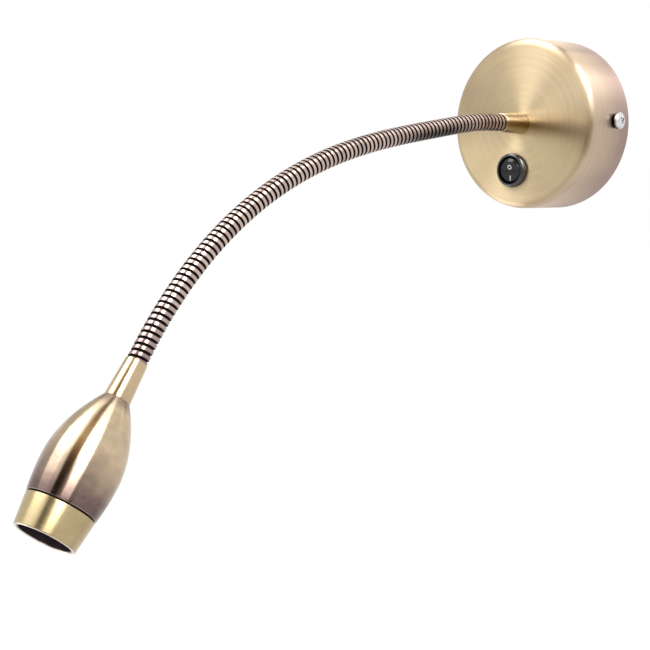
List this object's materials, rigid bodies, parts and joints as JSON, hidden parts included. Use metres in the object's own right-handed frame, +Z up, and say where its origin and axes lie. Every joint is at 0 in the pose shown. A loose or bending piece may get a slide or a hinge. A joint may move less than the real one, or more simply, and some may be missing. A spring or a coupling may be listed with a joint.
{
  "type": "wall reading lamp",
  "caption": "Wall reading lamp with a round canopy, a rocker switch, a flexible ribbed stem and a tapered spot head with a front ring.",
  "frame": {"origin": "middle of the canopy's back, in the wall plane, midway between the bracket's two wall screw slots", "axes": "+Y into the wall, -Y into the room, +Z up, +X to the right as seen from the room"},
  "size_m": [0.1106, 0.3991, 0.2469],
  "materials": {
    "canopy_brass": "antique brass plate, satin, spun in circles",
    "ferrule_brass": "antique brass plate, satin",
    "ring_brass": "yellow brass plate, fine lengthwise satin",
    "head_bronze": "antique bronze plate, satin, lightly smoked towards the seam",
    "hose_bronze": "antique bronze plated steel winding with dark grooves",
    "plain_brass": "plain turned brass",
    "earth_brass": "brass with a green earth mark colour",
    "bracket_black": "black coated",
    "zinc_steel": "zinc plated",
    "tinned_ring": "tinned",
    "chrome_screw": "bright nickel plate",
    "switch_plastic": "glossy black",
    "rocker_plastic": "glossy black",
    "mark_white": "white printed mark",
    "foam_pad": "foam adhesive pad",
    "driver_plastic": "white moulded plastic",
    "circuit_board": "green board with dark components",
    "block_nylon": "natural nylon",
    "wire_brown": "brown insulation",
    "wire_black": "black insulation",
    "wire_blue": "blue insulation",
    "lead_black": "black sheath",
    "sink_aluminium": "turned, bare",
    "board_white": "white solder mask on aluminium",
    "phosphor_yellow": "phosphor under a clear dome",
    "holder_black": "matt black",
    "lens_clear": "clear polished",
    "tube_black": "black, slightly glossy"
  },
  "bodies": {
    "base": {"wall_bracket": "bracket_black", "canopy": "canopy_brass", "canopy_screws": "chrome_screw", "upper_ferrule": "ferrule_brass", "upper_washer": "zinc_steel", "upper_nut": "plain_brass", "switch_body": "switch_plastic", "switch_terminals": "plain_brass", "driver_pad": "foam_pad", "driver_case": "driver_plastic", "driver_board": "circuit_board", "terminal_block": "block_nylon", "terminal_inserts": "plain_brass", "terminal_screws": "zinc_steel", "earth_screw": "earth_brass", "live_wire": "wire_brown", "switched_wire": "wire_black", "neutral_wire": "wire_blue", "earth_ring": "tinned_ring", "arm_lead": "lead_black", "hose_link_01": "hose_bronze"},
    "rocker": {"switch_rocker": "rocker_plastic", "rocker_marks": "mark_white"},
    "hose_02": {"hose_link_02": "hose_bronze"},
    "hose_03": {"hose_link_03": "hose_bronze"},
    "hose_04": {"hose_link_04": "hose_bronze"},
    "hose_05": {"hose_link_05": "hose_bronze"},
    "hose_06": {"hose_link_06": "hose_bronze"},
    "hose_07": {"hose_link_07": "hose_bronze"},
    "hose_08": {"hose_link_08": "hose_bronze"},
    "hose_09": {"hose_link_09": "hose_bronze"},
    "hose_10": {"hose_link_10": "hose_bronze"},
    "hose_11": {"hose_link_11": "hose_bronze"},
    "hose_12": {"hose_link_12": "hose_bronze"},
    "hose_13": {"hose_link_13": "hose_bronze"},
    "hose_14": {"hose_link_14": "hose_bronze"},
    "hose_15": {"hose_link_15": "hose_bronze"},
    "head": {"hose_link_16": "hose_bronze", "lower_ferrule": "ferrule_brass", "lower_nut": "plain_brass", "head_housing": "head_bronze", "front_ring": "ring_brass", "heat_sink": "sink_aluminium", "light_board": "board_white", "light_emitter": "phosphor_yellow", "board_screws": "zinc_steel", "lens_holder": "holder_black", "lens": "lens_clear", "glare_tube": "tube_black"}
  },
  "joints": [
    {"name": "hose_bend_01_up_down", "type": "hinge", "parent": "base", "child": "hose_02", "pos_m": [0, -0.0775, 0], "axis": [1, 0, 0], "range_deg": [-18.24, 5.76], "deforming": ["arm_lead"]},
    {"name": "hose_bend_02_sideways", "type": "hinge", "parent": "hose_02", "child": "hose_03", "pos_m": [0, -0.09688, -0.00212], "axis": [0, -0.1239, 0.9923], "range_deg": [-11, 11], "deforming": ["arm_lead"]},
    {"name": "hose_bend_03_up_down", "type": "hinge", "parent": "hose_03", "child": "hose_04", "pos_m": [0, -0.1162, -0.00483], "axis": [1, 0, 0], "range_deg": [-12.02, 11.98], "deforming": ["arm_lead"]},
    {"name": "hose_bend_04_sideways", "type": "hinge", "parent": "hose_04", "child": "hose_05", "pos_m": [0, -0.1355, -0.00755], "axis": [0, -0.1458, 0.9893], "range_deg": [-11, 11], "deforming": ["arm_lead"]},
    {"name": "hose_bend_05_up_down", "type": "hinge", "parent": "hose_05", "child": "hose_06", "pos_m": [0, -0.15478, -0.01052], "axis": [1, 0, 0], "range_deg": [-13.71, 10.29], "deforming": ["arm_lead"]},
    {"name": "hose_bend_06_sideways", "type": "hinge", "parent": "hose_06", "child": "hose_07", "pos_m": [0, -0.17395, -0.01406], "axis": [0, -0.2035, 0.9791], "range_deg": [-11, 11], "deforming": ["arm_lead"]},
    {"name": "hose_bend_07_up_down", "type": "hinge", "parent": "hose_07", "child": "hose_08", "pos_m": [0, -0.19295, -0.01845], "axis": [1, 0, 0], "range_deg": [-15.29, 8.71], "deforming": ["arm_lead"]},
    {"name": "hose_bend_08_sideways", "type": "hinge", "parent": "hose_08", "child": "hose_09", "pos_m": [0, -0.21167, -0.02393], "axis": [0, -0.3133, 0.9496], "range_deg": [-11, 11], "deforming": ["arm_lead"]},
    {"name": "hose_bend_09_up_down", "type": "hinge", "parent": "hose_09", "child": "hose_10", "pos_m": [0, -0.22997, -0.03067], "axis": [1, 0, 0], "range_deg": [-16.37, 7.63], "deforming": ["arm_lead"]},
    {"name": "hose_bend_10_sideways", "type": "hinge", "parent": "hose_10", "child": "hose_11", "pos_m": [0, -0.2477, -0.03877], "axis": [0, -0.453, 0.8915], "range_deg": [-11, 11], "deforming": ["arm_lead"]},
    {"name": "hose_bend_11_up_down", "type": "hinge", "parent": "hose_11", "child": "hose_12", "pos_m": [0, -0.26471, -0.04832], "axis": [1, 0, 0], "range_deg": [-16.95, 7.05], "deforming": ["arm_lead"]},
    {"name": "hose_bend_12_sideways", "type": "hinge", "parent": "hose_12", "child": "hose_13", "pos_m": [0, -0.28083, -0.05929], "axis": [0, -0.5985, 0.8011], "range_deg": [-11, 11], "deforming": ["arm_lead"]},
    {"name": "hose_bend_13_up_down", "type": "hinge", "parent": "hose_13", "child": "hose_14", "pos_m": [0, -0.29592, -0.07164], "axis": [1, 0, 0], "range_deg": [-17.02, 6.98], "deforming": ["arm_lead"]},
    {"name": "hose_bend_14_sideways", "type": "hinge", "parent": "hose_14", "child": "hose_15", "pos_m": [0, -0.30987, -0.08526], "axis": [0, -0.7283, 0.6853], "range_deg": [-11, 11], "deforming": ["arm_lead"]},
    {"name": "hose_bend_15_up_down", "type": "hinge", "parent": "hose_15", "child": "head", "pos_m": [0, -0.32262, -0.10001], "axis": [1, 0, 0], "range_deg": [-16.59, 7.41], "deforming": ["arm_lead"]},
    {"name": "rocker_press", "type": "hinge", "parent": "base", "child": "rocker", "pos_m": [-0.0056, -0.0367, -0.0274], "axis": [1, 0, 0], "range_deg": [-20, 0]}
  ]
}
